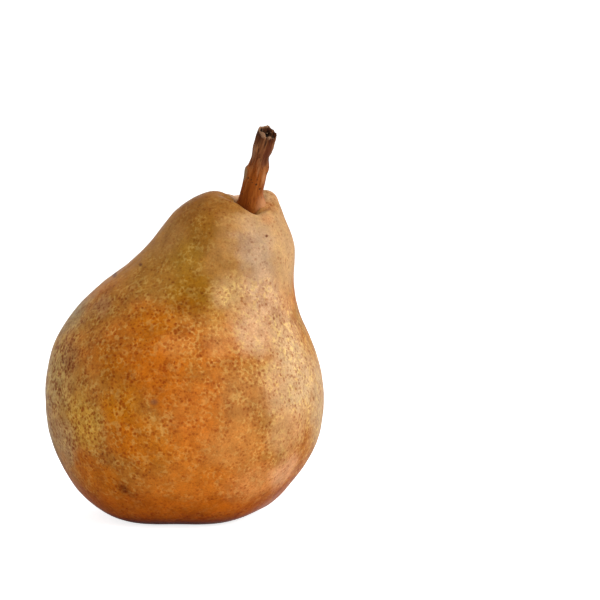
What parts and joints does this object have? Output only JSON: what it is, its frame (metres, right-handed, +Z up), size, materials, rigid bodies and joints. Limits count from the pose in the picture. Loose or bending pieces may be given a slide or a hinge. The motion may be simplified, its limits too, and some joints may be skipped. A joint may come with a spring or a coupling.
{
  "type": "pear",
  "caption": "Ripe russet pear with a leaning neck, a torn woody stem in its pit and a dried calyx underneath, standing on its base.",
  "frame": {"origin": "middle of the pear's box, on the surface that it stands on", "axes": "+Z up from the eye to the stem, -Y towards the viewer of the picture, +X the side that the neck leans to"},
  "size_m": [0.08, 0.0802, 0.1116],
  "materials": {
    "skin": "satin",
    "bark": "matte",
    "calyx": "matte"
  },
  "bodies": {
    "root": {"fruit": "skin", "stem": "bark", "calyx": "calyx"}
  },
  "joints": []
}
